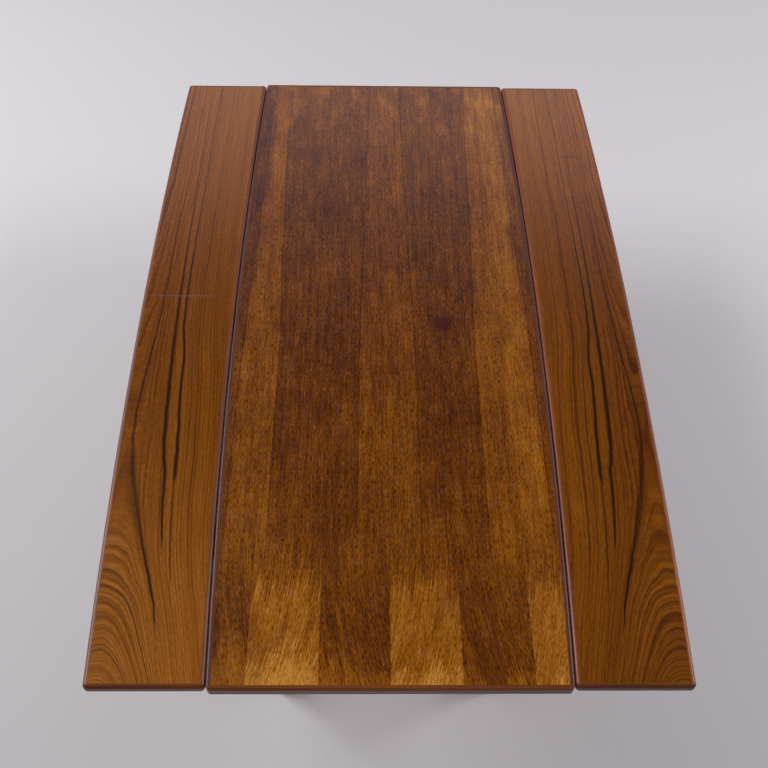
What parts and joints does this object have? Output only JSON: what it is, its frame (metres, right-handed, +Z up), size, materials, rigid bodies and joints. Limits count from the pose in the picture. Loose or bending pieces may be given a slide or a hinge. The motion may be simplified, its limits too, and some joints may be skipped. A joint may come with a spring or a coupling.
{
  "type": "drop leaf table",
  "caption": "Low teak table with gently bowed long sides, a fixed centre panel, a hinged drop leaf along each side held by slotted stays, and splayed turned legs.",
  "frame": {"origin": "on the floor under the middle of the table", "axes": "+X across the table towards the right leaf, +Y along its length away from the front end, +Z up"},
  "size_m": [0.9138, 1.4, 0.52],
  "materials": {
    "core": "raw blockboard core",
    "centre_veneer": "oiled and lacquered quartered teak veneer, worn",
    "leaf_veneer": "lacquered crown-cut teak veneer",
    "backing_veneer": "plain teak backing veneer, matt oil",
    "lipping": "solid teak, rounded and lacquered",
    "solid_teak": "solid teak, oiled",
    "beech": "plain beech, unfinished",
    "steel": "zinc plated steel",
    "stay_steel": "rolled strip steel, plated",
    "brass": "aged brass",
    "glide": "black nylon"
  },
  "bodies": {
    "frame": {"centre_core": "core", "centre_top_veneer": "centre_veneer", "centre_backing_veneer": "backing_veneer", "centre_side_lippings": "lipping", "centre_end_lippings": "lipping", "front_left_leg": "solid_teak", "front_right_leg": "solid_teak", "back_left_leg": "solid_teak", "back_right_leg": "solid_teak", "foot_glides": "glide", "left_apron": "solid_teak", "right_apron": "solid_teak", "front_apron": "solid_teak", "back_apron": "solid_teak", "front_cross_rail": "solid_teak", "back_cross_rail": "solid_teak", "corner_blocks": "beech", "corner_block_screws": "steel", "apron_dowels": "beech", "leg_bolts": "steel", "leg_bolt_washers": "steel", "leg_bolt_nuts": "steel", "top_buttons": "beech", "top_button_screws": "steel", "left_fixed_hinge_plates": "brass", "right_fixed_hinge_plates": "brass", "left_hinge_pins": "brass", "right_hinge_pins": "brass", "fixed_hinge_screws": "brass", "stud_brackets": "stay_steel", "bracket_screws": "steel", "stay_studs": "steel", "stay_washers": "steel", "clamping_nuts": "brass"},
    "left_leaf": {"left_leaf_core": "core", "left_leaf_top_veneer": "leaf_veneer", "left_leaf_backing_veneer": "backing_veneer", "left_leaf_side_lippings": "lipping", "left_leaf_end_lippings": "lipping", "left_leaf_hinge_plates": "brass", "left_leaf_hinge_screws": "brass", "left_stay_lugs": "stay_steel", "left_lug_screws": "steel", "left_stay_rivets": "steel"},
    "right_leaf": {"right_leaf_core": "core", "right_leaf_top_veneer": "leaf_veneer", "right_leaf_backing_veneer": "backing_veneer", "right_leaf_side_lippings": "lipping", "right_leaf_end_lippings": "lipping", "right_leaf_hinge_plates": "brass", "right_leaf_hinge_screws": "brass", "right_stay_lugs": "stay_steel", "right_lug_screws": "steel", "right_stay_rivets": "steel"},
    "front_left_stay": {"front_left_stay": "stay_steel"},
    "front_right_stay": {"front_right_stay": "stay_steel"},
    "back_left_stay": {"back_left_stay": "stay_steel"},
    "back_right_stay": {"back_right_stay": "stay_steel"}
  },
  "joints": [
    {"name": "left_leaf_hinge", "type": "hinge", "parent": "frame", "child": "left_leaf", "pos_m": [-0.28175, 0, 0.4962], "axis": [0, -1, 0], "range_deg": [0, 90]},
    {"name": "front_left_stay_rivet", "type": "hinge", "parent": "left_leaf", "child": "front_left_stay", "pos_m": [-0.41898, -0.34525, 0.49], "axis": [0, 1, 0], "range_deg": [0, 45]},
    {"name": "back_left_stay_rivet", "type": "hinge", "parent": "left_leaf", "child": "back_left_stay", "pos_m": [-0.41898, 0.34525, 0.49], "axis": [0, 1, 0], "range_deg": [0, 45]},
    {"name": "right_leaf_hinge", "type": "hinge", "parent": "frame", "child": "right_leaf", "pos_m": [0.28175, 0, 0.4962], "axis": [0, 1, 0], "range_deg": [0, 90]},
    {"name": "front_right_stay_rivet", "type": "hinge", "parent": "right_leaf", "child": "front_right_stay", "pos_m": [0.41898, -0.34525, 0.49], "axis": [0, -1, 0], "range_deg": [0, 45]},
    {"name": "back_right_stay_rivet", "type": "hinge", "parent": "right_leaf", "child": "back_right_stay", "pos_m": [0.41898, 0.34525, 0.49], "axis": [0, -1, 0], "range_deg": [0, 45]}
  ],
  "couplings": [
    {"joint": "front_left_stay_rivet", "follows": "left_leaf_hinge", "ratio": 0.5},
    {"joint": "back_left_stay_rivet", "follows": "left_leaf_hinge", "ratio": 0.5},
    {"joint": "front_right_stay_rivet", "follows": "right_leaf_hinge", "ratio": 0.5},
    {"joint": "back_right_stay_rivet", "follows": "right_leaf_hinge", "ratio": 0.5}
  ]
}
